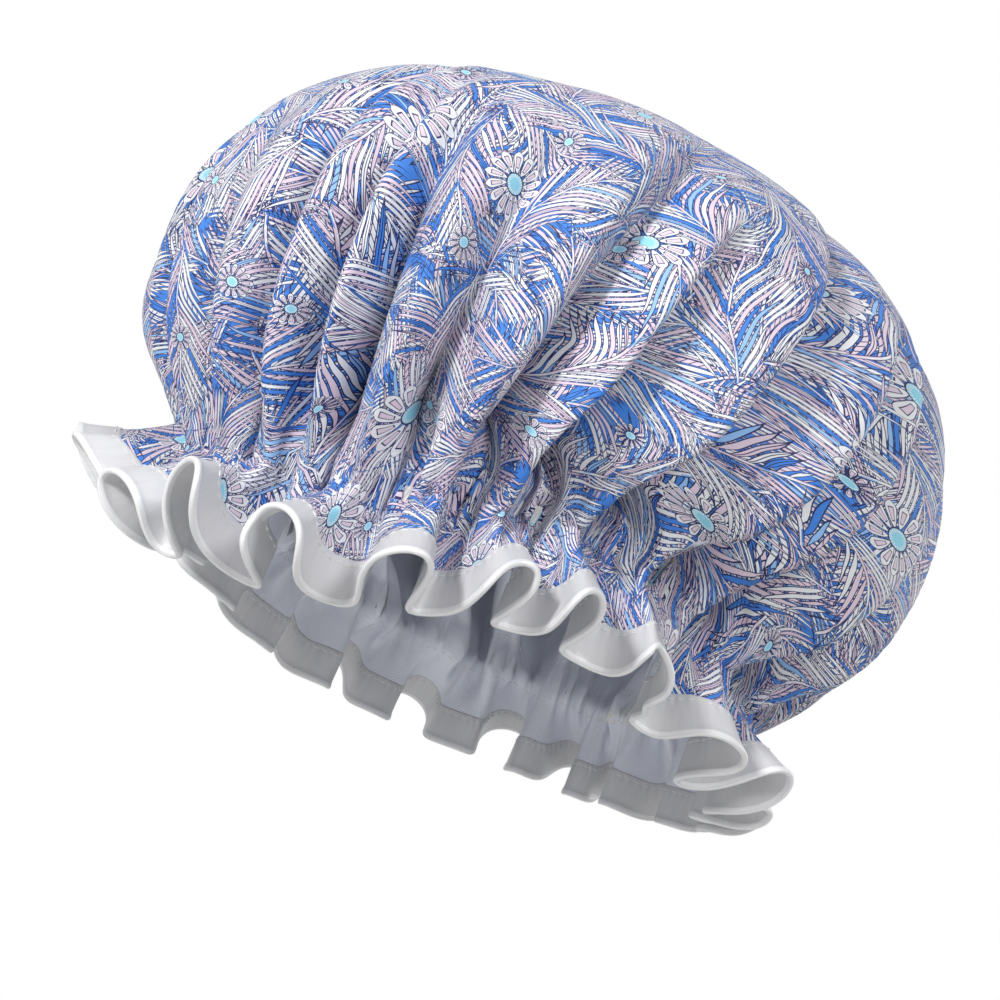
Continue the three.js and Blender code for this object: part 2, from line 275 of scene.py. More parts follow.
def uneven(number, step, phase):
    """A change between -1 and 1 from each numbered wave or fold to the next, the same in every run."""
    return np.sin(step * number + phase)


def crest_angles():
    """The frill's crests round the cap, with one more before and two more after a full turn."""
    wave = np.arange(WAVE_COUNT)
    angles = 2 * math.pi * wave / WAVE_COUNT + WAVE_JITTER * uneven(wave, 1.35, -1.2)
    return np.concatenate([angles[-1:] - 2 * math.pi, angles, angles[:2] + 2 * math.pi])


CRESTS = crest_angles()


def angle_at(place):
    """A place round the cap is counted in waves. Whole numbers are crests, and crest 0 is at the front."""
    turns = np.floor(place / WAVE_COUNT)
    local = place - turns * WAVE_COUNT
    wave = np.minimum(local.astype(int), WAVE_COUNT - 1)
    t = local - wave
    before, start, end, after = (CRESTS[wave + step] for step in range(4))
    smooth = start + t * (end - before) / 2
    smooth = smooth + t * t * (before - 2.5 * start + 2 * end - 0.5 * after)
    smooth = smooth + t**3 * (1.5 * (start - end) + (after - before) / 2)
    return smooth + 2 * math.pi * turns


def swing(place, times, phase):
    """A slow change round the cap that closes on itself."""
    return np.sin(2 * math.pi * times * place / WAVE_COUNT + phase)


def swings(place, table):
    """Several slow changes together, each with its share."""
    return sum(share * swing(place, times, phase) for share, times, phase in table)


def side_lean(angle):
    """Nothing over the brow and at the nape, 1 at the left side and -1 at the right."""
    return np.sin(angle) * np.abs(np.sin(angle))


def make_folds():
    """The valleys between the folds: each one's angle at the elastic, its length and its depth.

    They are closest over the brow and deepest at the sides, and no two are alike.
    """
    index = np.arange(FOLD_COUNT)
    turn = 2 * math.pi * (index + 0.5 + FOLD_UNEVENNESS * uneven(index, 4.1, 1.3)) / FOLD_COUNT
    start = turn - FOLD_CROWDING * np.sin(turn)
    aside = np.abs(side_lean(start))
    length = FOLD_LENGTH + FOLD_LENGTH_SPREAD * uneven(index, 2.7, 0.6) + FOLD_SIDE_LENGTH * aside
    deepest = FOLD_DEPTH * (1 + FOLD_SIDE_DEPTH * aside + FOLD_DEPTH_SPREAD * uneven(index, 1.7, 0))
    return start, length, deepest


FOLDS = make_folds()


def valley_depth(angle, reach):
    """How far the cloth lies inside the dome's ridges, which stand between the valleys like pipes."""
    start, length, deepest = FOLDS
    up = ELASTIC_REACH - reach
    foot = (angle - FOLD_DRAG * side_lean(angle) * up) % (2 * math.pi)
    after = np.searchsorted(start, foot) % FOLD_COUNT
    before = (after - 1) % FOLD_COUNT
    gap = (start[after] - start[before]) % (2 * math.pi)
    share = (foot - start[before]) % (2 * math.pi) / gap
    ridge = 0.5 + FOLD_SKEW * side_lean(foot)
    rising = share < ridge
    aside = np.where(rising, 1 - share / ridge, (share - ridge) / (1 - ridge))
    valley = np.where(rising, before, after)
    left = np.clip(1 - up / length[valley], 0, 1)
    steep = smooth_step(0, FOLD_FOOT, up)
    depth = (GATHER_DEPTH + (deepest[valley] - GATHER_DEPTH) * steep) * left
    gentle = (1 - np.cos(math.pi * aside)) / 2
    return depth * (gentle + (aside**FOLD_ROUNDNESS - gentle) * steep)


def temple_rise(angle):
    """How far the elastic line is lifted at an angle from the front."""
    turn = np.abs(np.arctan2(np.sin(angle), np.cos(angle)))
    off = np.minimum(1, np.abs(turn - TEMPLE_ANGLE) / TEMPLE_SPREAD)
    return TEMPLE_RISE * (1 + np.cos(math.pi * off)) / 2


def dome_point(place, reach):
    half_width, half_length, height, normal_out, normal_up = envelope(reach)
    angle = angle_at(place)
    depth = valley_depth(angle, reach)
    inward = depth * normal_out
    tuck = FOLD_TUCK * side_lean(angle) * smooth_step(0, TUCK_FOOT, ELASTIC_REACH - reach)
    angle = angle - tuck * depth / DOME_HALF_LENGTH
    x = (half_width - inward) * np.sin(angle)
    y = -(half_length - inward) * np.cos(angle)
    lift = temple_rise(angle) * smooth_step(WIDEST_REACH, ELASTIC_REACH, reach)
    return np.stack([x, y, height - depth * normal_up + lift], axis=-1)


def waist_line(angle):
    """The elastic line and its outward normal."""
    x, y, level = np.sin(angle), -np.cos(angle), np.zeros_like(angle)
    point = np.stack([HEAD_HALF_WIDTH * x, HEAD_HALF_LENGTH * y, level], axis=-1)
    normal = np.stack([x / HEAD_HALF_WIDTH, y / HEAD_HALF_LENGTH, level], axis=-1)
    return point, normal / np.linalg.norm(normal, axis=-1, keepdims=True)


def frill_point(place, reach):
    """The frill hangs straight down in its troughs and curls outwards on its crests, in loops that lean."""
    share = (reach - ELASTIC_REACH) / FRILL_DEPTH
    crest = (1 + np.cos(2 * math.pi * place)) / 2
    curl = (FRILL_CREST_ANGLE + FRILL_CREST_SPREAD * swings(place, CURL_SWINGS)) * crest
    start = FRILL_WAIST_SHARE * curl
    bend = np.maximum((1 - FRILL_WAIST_SHARE) * curl, LEAST_BEND)
    end = start + bend * share
    out = FRILL_DEPTH * (np.cos(start) - np.cos(end)) / bend
    drop = FRILL_DEPTH * (np.sin(end) - np.sin(start)) / bend
    overhang = FRILL_OVERHANG + swings(place, OVERHANG_SWINGS)
    lean = FRILL_LEAN * swings(place, LEAN_SWINGS)
    shifted = place + overhang * share * np.sin(4 * math.pi * place) / (2 * math.pi) + lean * share * crest
    angle = angle_at(shifted)
    point, normal = waist_line(angle)
    depth = valley_depth(angle_at(place), np.full_like(place, ELASTIC_REACH))
    point = point + normal * (out - depth)[:, None]
    point[:, 2] = temple_rise(angle) - drop
    return point


def cloth_point(place, reach):
    """The middle of the cloth at a place round the cap and a length from the crown."""
    place, reach = np.broadcast_arrays(np.asarray(place, float), np.asarray(reach, float))
    frill = reach > ELASTIC_REACH
    points = np.empty((len(place), 3))
    points[frill] = frill_point(place[frill], reach[frill])
    points[~frill] = dome_point(place[~frill], reach[~frill])
    return points


def cloth_normal(place, reach):
    """The cloth's outward direction near the elastic and on the frill."""
    place, reach = np.broadcast_arrays(np.asarray(place, float), np.asarray(reach, float))
    round_way = cloth_point(place + ROUND_STEP, reach) - cloth_point(place - ROUND_STEP, reach)
    down_way = cloth_point(place, reach + DOWN_STEP) - cloth_point(place, reach - DOWN_STEP)
    normal = np.cross(down_way, round_way)
    return normal / np.linalg.norm(normal, axis=1, keepdims=True)


def pleat_height(place, reach):
    """Pleats that spread from the elastic into the dome and the frill. The finest fade first."""
    up = ELASTIC_REACH - reach
    turn = 2 * math.pi * place / WAVE_COUNT
    below = 1 - smooth_step(0, PLEAT_DROP, -up)
    vary, vary_times, vary_phase = PLEAT_SIZES
    total = np.zeros_like(turn)
    for count, rise, share in PLEAT_SETS:
        fade = np.where(up > 0, 1 - smooth_step(0, rise * PLEAT_RISE, up), below)
        wander = sum(far * np.sin(times * turn + phase * count) for far, times, phase in PLEAT_WANDERS)
        size = 1 - vary + vary * np.sin(vary_times * turn + vary_phase * count)
        total += share * fade * size * np.sin(count * turn + wander)
    return PLEAT_HEIGHT * total


def layer_gap(reach):
    """Half the gap between the two layers, wider where the elastic lies and closed under the binding."""
    near = np.abs(reach - ELASTIC_REACH)
    gap = CHANNEL_GAP + (CLOTH_GAP - CHANNEL_GAP) * smooth_step(*CHANNEL_SLOPE, near)
    covered = reach - (EDGE_REACH - BINDING_WIDTH)
    return gap + (BOUND_GAP - gap) * smooth_step(*BOUND_SLOPE, covered)


def layer_point(place, reach, off):
    """A point near the elastic or on the frill, at a distance off the pleated middle of the cloth."""
    place, reach = np.broadcast_arrays(np.asarray(place, float), np.asarray(reach, float))
    height = pleat_height(place, reach) + off
    return cloth_point(place, reach) + cloth_normal(place, reach) * height[:, None] + WAIST_CENTRE


def rows_between(inner, outer, count):
    lines = max(1, round((outer - inner) / ROW_STEP))
    return [(inner + (outer - inner) * (i + 1) / lines, count) for i in range(lines)]


def cloth_rows():
    """Rows of the disc from crown to edge, as (length from the crown, points round the row)."""
    rows = []
    dense = ELASTIC_REACH / 2
    for step in range(CROWN_STEPS, 0, -1):
        inner = 0 if step == CROWN_STEPS else dense / 2**step
        rows += rows_between(inner, dense / 2 ** (step - 1), COLUMNS // 2**step)
    rows += rows_between(dense, ELASTIC_REACH, COLUMNS)
    return rows + rows_between(ELASTIC_REACH, EDGE_REACH, COLUMNS)


def cloth_disc():
    """The gathered cloth: points, their places on the flat disc, faces, and lengths from the crown."""
    points, flat, reaches, faces = [np.array([[0, 0, CROWN_HEIGHT]])], [np.zeros((1, 2))], [np.zeros(1)], []
    first, last_count = 0, 1
    for reach, count in cloth_rows():
        place = np.arange(count) * WAVE_COUNT / count
        turn = 2 * math.pi * place / WAVE_COUNT
        start = first + last_count
        for i in range(count):
            a, b = start + i, start + (i + 1) % count
            if last_count == 1:
                faces.append((first, a, b))
            elif last_count == count:
                faces.append((first + i, a, b, first + (i + 1) % count))
            elif i % 2 == 0:
                faces.append((first + i // 2, a, b))
            else:
                c, d = first + i // 2, first + (i // 2 + 1) % last_count
                faces.append((c, a, d))
                faces.append((d, a, b))
        points.append(cloth_point(place, reach))
        flat.append(np.stack([reach * np.sin(turn), -reach * np.cos(turn)], axis=-1))
        reaches.append(np.full(count, reach))
        first, last_count = start, count
    return np.concatenate(points), np.concatenate(flat), faces, np.concatenate(reaches)


def new_piece(name, points, faces, edges=()):
    mesh = bpy.data.meshes.new(name)
    mesh.from_pydata([tuple(p) for p in points], list(edges), faces)
    mesh.validate()
    mesh.update()
    mesh.polygons.foreach_set("use_smooth", np.ones(len(mesh.polygons), bool))
    piece = bpy.data.objects.new(name, mesh)
    bpy.context.scene.collection.objects.link(piece)
    return piece


def read_vectors(mesh, kind="co"):
    """The mesh's points, or their normals."""
    vectors = np.empty(len(mesh.vertices) * 3)
    mesh.vertices.foreach_get(kind, vectors)
    return vectors.reshape(-1, 3)


def set_points(mesh, points):
    mesh.vertices.foreach_set("co", np.asarray(points, float).ravel())
    mesh.update()


def corner_points(mesh):
    corner = np.empty(len(mesh.loops), int)
    mesh.loops.foreach_get("vertex_index", corner)
    return corner


def map_points(mesh, name, flat):
    """Keeps each point's place on the flat cloth as the mesh's own map."""
    layer = mesh.uv_layers.new(name=name)
    layer.data.foreach_set("uv", flat[corner_points(mesh)].ravel())


def read_map(mesh, name):
    uv = np.empty(len(mesh.loops) * 2)
    mesh.uv_layers[name].data.foreach_get("uv", uv)
    flat = np.zeros((len(mesh.vertices), 2))
    flat[corner_points(mesh)] = uv.reshape(-1, 2)
    return flat


def puff_up(piece, reaches):
    """Lets the dome swell and its folds settle, with the elastic's channel and the frill held."""
    mesh = piece.data
    set_points(mesh, read_vectors(mesh) * SIM_SCALE)
    held = piece.vertex_groups.new(name="held")
    for index in np.flatnonzero(reaches > HELD_REACH):
        held.add([int(index)], 1.0, "REPLACE")
    cloth = piece.modifiers.new("cloth", "CLOTH")
    for name, value in CLOTH_SETTINGS.items():
        setattr(cloth.settings, name, value)
    cloth.settings.vertex_group_mass = "held"
    cloth.settings.effector_weights.gravity = SIM_GRAVITY
    cloth.collision_settings.use_collision = False
    cloth.point_cache.frame_start = 1
    cloth.point_cache.frame_end = SIM_FRAMES
    scene = bpy.context.scene
    for number in range(1, SIM_FRAMES + 1):
        scene.frame_set(number)
    shaped = piece.evaluated_get(bpy.context.evaluated_depsgraph_get())
    settled = read_vectors(shaped.data)
    piece.modifiers.remove(cloth)
    piece.vertex_groups.clear()
    scene.frame_set(1)
    set_points(mesh, settled / SIM_SCALE)


def make_plain(piece):
    """Turns a piece with modifiers into a plain mesh."""
    shaped = piece.evaluated_get(bpy.context.evaluated_depsgraph_get())
    mesh = bpy.data.meshes.new_from_object(shaped)
    piece.modifiers.clear()
    old = piece.data
    piece.data = mesh
    bpy.data.meshes.remove(old)
    mesh.polygons.foreach_set("use_smooth", np.ones(len(mesh.polygons), bool))


def subdivide(piece):
    finer = piece.modifiers.new("finer", "SUBSURF")
    finer.levels = finer.render_levels = 1
    finer.uv_smooth = "NONE"
    make_plain(piece)


def operation(name):
    """One kind of sum between a number in a shader and others."""

    def result(field, *others):
        return field.maths(name, *others)

    return result


class Field:
    """A number in a shader's node tree that is used in sums like any other number."""

    def __init__(self, tree, socket):
        self.tree = tree
        self.socket = socket

    def maths(self, name, *others):
        node = self.tree.nodes.new("ShaderNodeMath")
        node.operation = name
        for slot, value in zip(node.inputs, (self, *others)):
            join(self.tree, value, slot)
        return Field(self.tree, node.outputs[0])

    __add__ = operation("ADD")
    __sub__ = operation("SUBTRACT")
    __mul__ = operation("MULTIPLY")
    __truediv__ = operation("DIVIDE")
    __lt__ = operation("LESS_THAN")
    __gt__ = operation("GREATER_THAN")
    __abs__ = operation("ABSOLUTE")
    part = operation("FRACT")
    whole = operation("FLOOR")
    root = operation("SQRT")
    sine = operation("SINE")
    at_most = operation("MINIMUM")
    at_least = operation("MAXIMUM")


def join(tree, value, slot):
    """Puts a constant on a socket or links a value to it."""
    if isinstance(value, Field):
        tree.links.new(value.socket, slot)
    elif isinstance(value, bpy.types.NodeSocket):
        tree.links.new(value, slot)
    else:
        slot.default_value = value


def new_node(tree, kind, values=(), **settings):
    node = tree.nodes.new(kind)
    for name, value in settings.items():
        setattr(node, name, value)
    for slot, value in dict(values).items():
        join(tree, value, node.inputs[slot])
    return node


def vector_maths(tree, name, first, second):
    node = new_node(tree, "ShaderNodeVectorMath", operation=name)
    join(tree, first, node.inputs[0])
    join(tree, second, node.inputs["Scale"] if name == "SCALE" else node.inputs[1])
    return node.outputs[0]


def split(tree, vector):
    node = new_node(tree, "ShaderNodeSeparateXYZ", {"Vector": vector})
    return [Field(tree, node.outputs[axis]) for axis in "XYZ"]


def three_chances(tree, color):
    node = new_node(tree, "ShaderNodeSeparateColor", {"Color": color})
    return [Field(tree, node.outputs[i]) for i in range(3)]


def paint(tree, share, under, over):
    """Lays one colour over another where the share is 1."""
    node = new_node(tree, "ShaderNodeMix", data_type="RGBA")
    join(tree, share, node.inputs["Factor"])
    for slot, color in ((node.inputs[6], under), (node.inputs[7], over)):
        join(tree, (*color, 1) if isinstance(color, tuple) else color, slot)
    return node.outputs[2]


def new_group(name, kind, inputs, outputs):
    """A node tree with sockets of these names and kinds, and its given and resulting values."""
    tree = bpy.data.node_groups.new(name, kind)
    for way, sockets in (("INPUT", inputs), ("OUTPUT", outputs)):
        for label, value in sockets.items():
            tree.interface.new_socket(label, in_out=way, socket_type="NodeSocket" + value)
    return tree, tree.nodes.new("NodeGroupInput").outputs, tree.nodes.new("NodeGroupOutput").inputs


def print_group(name, sizes):
    """One kind of figure in the print, which covers part of the cloth with its colour."""
    inputs = {"Place": "Vector", **dict.fromkeys(sizes, "Float")}
    tree, given, result = new_group(name, "ShaderNodeTree", inputs, {"Cover": "Float", "Color": "Color"})
    return tree, given, result, [Field(tree, given[label]) for label in sizes]


def scatter(tree, place, size, seed):
    """Spots over the cloth: the place from the nearest one, the room round it, and three chances for it."""
    shift = new_node(tree, "ShaderNodeCombineXYZ", {"X": seed, "Y": seed * 1.7})
    shrunk = vector_maths(tree, "SCALE", place, size.maths("POWER", -1.0))
    spread = vector_maths(tree, "ADD", shrunk, shift.outputs[0])
    cells = {"Vector": spread, "Scale": 1.0, "Randomness": 0.85}
    near, following = (
        new_node(tree, "ShaderNodeTexVoronoi", cells, voronoi_dimensions="2D", feature=feature).outputs
        for feature in ("F1", "F2")
    )
    local = vector_maths(tree, "SUBTRACT", spread, near["Position"])
    local = vector_maths(tree, "SCALE", local, size)
    room = (Field(tree, following["Distance"]) - Field(tree, near["Distance"])) * size * 0.5
    return local, room, three_chances(tree, near["Color"])


# The print's lines and stems in millimetres, and half a leaf's or petal's width by its pitch
LEAF_OUTLINE = 0.15
LEAF_VEIN = 0.07
STEM_HALF = 0.45
STEM_LINE_FROM = 0.28
LEAF_TICK_PITCH = 1.1
LEAF_TICK_SHARE = 0.18
PETAL_OUTLINE = 0.22
FIGURE_HALF_WIDTH = 0.46
# Bends by the square of the distance, and the room that a full leaf needs
STEM_BEND = 0.03
LEAF_BEND = 0.024
LEAF_ROOM = 3.5
# A leaf's width at its foot and how fast it swells, and the step between the stem's two sides
LEAF_FOOT = 0.4
LEAF_SWELL = 3.0
SIDE_STEP = 0.25
# A stem's half length by the spacing, and the chances for veins and ticks
STEM_SHARE = 0.75
VEINS_ABOVE = 0.8
TICKS_BELOW = 0.2
# Chances from which leaves are lavender, pale blue and cobalt
LAVENDER_FROM = 0.46
PALE_BLUE_FROM = 0.78
COBALT_FROM = 0.85


def leaf_spray_group():
    """Sprays of narrow leaves on a bent stem, outlined in navy. Sizes in millimetres."""
    sizes = ("Spacing", "Seed", "Leaf pitch", "Leaf reach", "Lean")
    tree, given, result, (spacing, seed, pitch, reach, lean) = print_group("leaf sprays", sizes)
    local, room, (turn, bend, _) = scatter(tree, given["Place"], spacing, seed)
    heading = {"Vector": local, "Angle": turn * (2 * math.pi)}
    turned = new_node(tree, "ShaderNodeVectorRotate", heading, rotation_type="Z_AXIS")
    x, y, _ = split(tree, turned.outputs[0])
    across = x + y * y * ((bend - 0.5) * STEM_BEND)
    side = across.maths("SIGN")
    aside = abs(across)
    along = y - aside * lean + aside * aside * LEAF_BEND
    count = along / pitch + side * SIDE_STEP
    off = abs(count.part() - 0.5)
    key = new_node(tree, "ShaderNodeCombineXYZ", {"X": count.whole(), "Y": side, "Z": turn * 97.0})
    chance = new_node(tree, "ShaderNodeTexWhiteNoise", {"Vector": key.outputs[0]}, noise_dimensions="3D")
    longer, ink, marks = three_chances(tree, chance.outputs["Color"])
    on_stem = along / (spacing * STEM_SHARE)
    taper = (on_stem * on_stem * -1.0 + 1.0).at_least(0.0).root()
    share = aside / (reach * taper * (longer * 0.5 + 0.5) + 0.01)
    width = (share * share * share * -1.0 + 1.0).at_least(0.0) * FIGURE_HALF_WIDTH
    width = width * (share * LEAF_SWELL + LEAF_FOOT).at_most(1.0) * (room / LEAF_ROOM).at_most(1.0)
    spread = pitch / (lean * lean + 1.0).root()
    outline = (width - off) * spread < LEAF_OUTLINE
    vein = (off * spread < LEAF_VEIN) * (marks > VEINS_ABOVE)
    ticks = ((aside / LEAF_TICK_PITCH).part() < LEAF_TICK_SHARE) * (marks < TICKS_BELOW)
    stem = (aside < STEM_HALF) * (abs(on_stem) < 1.0)
    lines = outline.at_least(vein).at_least(ticks) * (aside > STEM_HALF)
    color = paint(tree, ink > LAVENDER_FROM, WHITE_INK, LAVENDER)
    color = paint(tree, ink > PALE_BLUE_FROM, color, PALE_BLUE)
    color = paint(tree, ink > COBALT_FROM, color, COBALT)
    color = paint(tree, lines.at_least((aside > STEM_LINE_FROM) * stem), color, NAVY)
    join(tree, (off < width).at_least(stem), result["Cover"])
    join(tree, color, result["Color"])
    return tree


# Parts of a daisy by its radius
DAISY_MIDDLE = 0.33
DAISY_RING_FROM = 0.29
BEADS = (0.19, 0.285)
PETAL_CENTRE = 0.64
PETAL_HALF_LENGTH = 0.38
STRIPE = (0.50, 0.82)
STRIPE_LINE = (0.47, 0.85)
# Half widths by the petal's pitch, and a bead's share of its own
STRIPE_HALF = 0.15
STRIPE_LINE_HALF = 0.20
BEAD_SHARE = 0.4
# Least petals, how many more there can be, and beads in the ring
LEAST_PETALS = 11.0
MORE_PETALS = 5.0
BEAD_COUNT = 22.0


def daisy_group():
    """Round flowers with an aqua middle and narrow striped petals. Sizes in millimetres."""
    sizes = ("Spacing", "Seed", "Least radius", "Most radius")
    tree, given, result, (spacing, seed, least, most) = print_group("daisies", sizes)
    local, _, (big, kind, turn) = scatter(tree, given["Place"], spacing, seed)
    x, y, _ = split(tree, local)
    far = (x * x + y * y).root()
    out = far / (least + (most - least) * big)
    petals = (kind * MORE_PETALS).whole() + LEAST_PETALS
    heading = y.maths("ARCTAN2", x) / (2 * math.pi) + turn
    off = abs((heading * petals).part() - 0.5)
    bulge = (out - PETAL_CENTRE) / PETAL_HALF_LENGTH
    width = (bulge * bulge * bulge * bulge * -1.0 + 1.0).at_least(0.0) * FIGURE_HALF_WIDTH
    outline = (width - off) * far * (2 * math.pi) / petals < PETAL_OUTLINE
    stripe = (off < STRIPE_HALF) * (out > STRIPE[0]) * (out < STRIPE[1])
    stripe_line = (off < STRIPE_LINE_HALF) * (out > STRIPE_LINE[0]) * (out < STRIPE_LINE[1])
    middle = out < DAISY_MIDDLE
    beads = ((heading * BEAD_COUNT).part() < BEAD_SHARE) * (out > BEADS[0]) * (out < BEADS[1])
    color = paint(tree, stripe_line, WHITE_INK, NAVY)
    color = paint(tree, stripe, color, LAVENDER)
    color = paint(tree, outline, color, NAVY)
    color = paint(tree, middle, color, AQUA)
    color = paint(tree, beads, color, WHITE_INK)
    color = paint(tree, (out > DAISY_RING_FROM) * middle, color, NAVY)
    join(tree, (off < width).at_least(middle), result["Cover"])
    join(tree, color, result["Color"])
    return tree


# Layers of the print from the ground up: spacing, seed, leaf pitch, leaf reach and lean
SPRAY_LAYERS = (
    (22.0, 83.3, 2.3, 16.0, 1.6),
    (27.0, 59.7, 2.4, 17.0, 1.9),
    (31.0, 71.9, 2.5, 17.0, 1.7),
    (35.0, 3.1, 2.7, 18.0, 2.0),
    (33.0, 11.7, 2.4, 16.0, 1.7),
    (41.0, 23.9, 2.8, 18.0, 2.2),
    (37.0, 47.2, 2.6, 16.0, 1.9),
)
# Spacing, seed, least and most radius
DAISY_LAYERS = ((52.0, 5.3, 7.0, 11.0), (38.0, 17.1, 3.0, 5.0))
# How far the drawing strays, in millimetres
PRINT_DRIFT = 4.0


def print_color(tree, flat):
    """The whole print: cobalt ground, leaf sprays, then large and small daisies, drawn a little unevenly."""
    place = vector_maths(tree, "SCALE", flat, 1 / MM)
    slow = {"Vector": place, "Scale": 0.05, "Detail": 1.0}
    drift = new_node(tree, "ShaderNodeTexNoise", slow, noise_dimensions="2D").outputs["Color"]
    drift = vector_maths(tree, "SUBTRACT", drift, (0.5, 0.5, 0.5))
    place = vector_maths(tree, "ADD", place, vector_maths(tree, "SCALE", drift, PRINT_DRIFT))
    color = COBALT
    for figures, layers in ((leaf_spray_group(), SPRAY_LAYERS), (daisy_group(), DAISY_LAYERS)):
        for sizes in layers:
            layer = new_node(tree, "ShaderNodeGroup", node_tree=figures)
            for slot, value in zip(layer.inputs, (place, *sizes)):
                join(tree, value, slot)
            color = paint(tree, layer.outputs["Cover"], color, layer.outputs["Color"])
    return color


def new_material(name, color, roughness, specular, more=()):
    material = bpy.data.materials.new(name)
    material.use_nodes = True
    shader = material.node_tree.nodes["Principled BSDF"]
    values = {"Base Color": (*color, 1), "Roughness": roughness, "Specular IOR Level": specular}
    for slot, value in {**values, **dict(more)}.items():
        shader.inputs[slot].default_value = value
    return material, material.node_tree, shader


def noise(tree, values, dimensions="3D"):
    node = new_node(tree, "ShaderNodeTexNoise", values, noise_dimensions=dimensions)
    return Field(tree, node.outputs["Fac"])


def flat_place(tree, name):
    """The place on the flat cloth, from the mesh's own map."""
    return new_node(tree, "ShaderNodeUVMap", uv_map=name).outputs[0]


def bump(tree, shader, height, distance, strength):
    node = new_node(tree, "ShaderNodeBump", {"Height": height, "Distance": distance, "Strength": strength})
    join(tree, node.outputs["Normal"], shader.inputs["Normal"])


def weave_height(tree, flat, threads):
    """Over-and-under threads of a plain weave, with this many threads to the metre."""
    x, y, _ = split(tree, vector_maths(tree, "SCALE", flat, threads * math.pi))
    return x.sine() * y.sine()


def printed_cotton():
    sheen = {"Sheen Weight": 0.06, "Sheen Roughness": 0.4}
    material, tree, shader = new_material("printed cotton", COBALT, roughness=0.6, specular=0.2, more=sheen)
    flat = flat_place(tree, "flat_disc")
    join(tree, print_color(tree, flat), shader.inputs["Base Color"])
    fine = {"Vector": flat, "Scale": 110.0, "Detail": 3.0, "Roughness": 0.55}
    height = weave_height(tree, flat, threads=2600) * 0.06 + noise(tree, fine, "2D") * 0.5
    bump(tree, shader, height, distance=1.0 * MM, strength=0.35)
    return material


def coated_cloth():
    coat = {"Coat Weight": 0.15, "Coat Roughness": 0.3}
    material, tree, shader = new_material(
        "coated lining", LINING_WHITE, roughness=0.38, specular=0.5, more=coat
    )
    flat = flat_place(tree, "flat_disc")
    creases = noise(tree, {"Vector": flat, "Scale": 140.0, "Detail": 3.0}, "2D")
    join(tree, paint(tree, creases, LINING_WHITE, LINING_PALE), shader.inputs["Base Color"])
    height = weave_height(tree, flat, threads=1800) * 0.1 + creases
    bump(tree, shader, height, distance=1.0 * MM, strength=0.3)
    return material


def white_satin():
    gloss = {"Sheen Weight": 0.15, "Anisotropic": 0.4}
    material, tree, shader = new_material(
        "white satin", SATIN_WHITE, roughness=0.36, specular=0.5, more=gloss
    )
    strip = flat_place(tree, "strip")
    tangent = new_node(tree, "ShaderNodeTangent", direction_type="UV_MAP", uv_map="strip")
    join(tree, tangent.outputs[0], shader.inputs["Tangent"])
    along, across, _ = split(tree, strip)
    drawn = vector_maths(tree, "MULTIPLY", strip, SATIN_FLECKS)
    fleck = noise(tree, {"Vector": drawn, "Scale": 1.0})
    ribs = (along * (2 * math.pi / SATIN_RIB)).sine() * 0.5
    shade = paint(tree, fleck, SATIN_DARK, SATIN_PALE)
    # A band along the fold at the lip is painted lighter: a painted highlight on the rounded edge
    lip_highlight = abs(across) < FOLD_HIGHLIGHT_HALF
    join(tree, paint(tree, lip_highlight, shade, PAINTED_FOLD_HIGHLIGHT), shader.inputs["Base Color"])
    bump(tree, shader, ribs * 0.3 + fleck, distance=0.12 * MM, strength=0.5)
    return material


def braided_elastic():
    material, tree, shader = new_material("braided elastic", ELASTIC_WHITE, roughness=0.7, specular=0.3)
    strip = flat_place(tree, "strip")
    along, across, _ = split(tree, strip)
    cord = (across * (2 * math.pi / ELASTIC_CORD)).sine()
    plait = ((along + across) * (2 * math.pi / ELASTIC_PLAIT)).sine()
    # Where the plait's bump is low the colour is darker: painted shade in its grooves
    join(tree, paint(tree, plait * 0.5 + 0.5, ELASTIC_GROOVE_SHADE, ELASTIC_WHITE), shader.inputs["Base Color"])
    bump(tree, shader, cord + plait * 0.5, distance=0.15 * MM, strength=0.6)
    return material


def twisted_thread(name, color):
    sheen = {"Sheen Weight": 0.2}
    material, tree, shader = new_material(name, color, roughness=0.5, specular=0.4, more=sheen)
    place = new_node(tree, "ShaderNodeTexCoord").outputs["Object"]
    fibre = noise(tree, {"Vector": place, "Scale": 4000.0})
    darker = tuple(0.82 * part for part in color)
    join(tree, paint(tree, fibre, darker, color), shader.inputs["Base Color"])
    bump(tree, shader, fibre, distance=0.05 * MM, strength=0.5)
    return material


def make_cloth():
    """The gathered cloth, puffed and refined, with the points of its outer and inner layer."""
    points, flat, faces, reaches = cloth_disc()
    cloth = new_piece("printed_cover", points, faces)
    puff_up(cloth, reaches)
    map_points(cloth.data, "flat_disc", flat)
    subdivide(cloth)
    flat = read_map(cloth.data, "flat_disc")
    reach = np.minimum(np.hypot(flat[:, 0], flat[:, 1]), EDGE_REACH)
    place = np.arctan2(flat[:, 0], -flat[:, 1]) * WAVE_COUNT / (2 * math.pi) % WAVE_COUNT
    middle = read_vectors(cloth.data)
    normal = read_vectors(cloth.data, "normal")
    ruled = reach > HELD_REACH
    share = smooth_step(HELD_REACH, HELD_REACH + HELD_EASE, reach[ruled])[:, None]
    middle[ruled] += share * (cloth_point(place[ruled], reach[ruled]) - middle[ruled])
    turned = normal[ruled] + share * (cloth_normal(place[ruled], reach[ruled]) - normal[ruled])
    normal[ruled] = turned / np.linalg.norm(turned, axis=1, keepdims=True)
    pleats = pleat_height(place, reach)
    gap = layer_gap(reach)
    outer = middle + normal * (pleats + gap)[:, None]
    inner = middle + normal * (pleats - gap)[:, None]
    return cloth, outer + WAIST_CENTRE, inner + WAIST_CENTRE


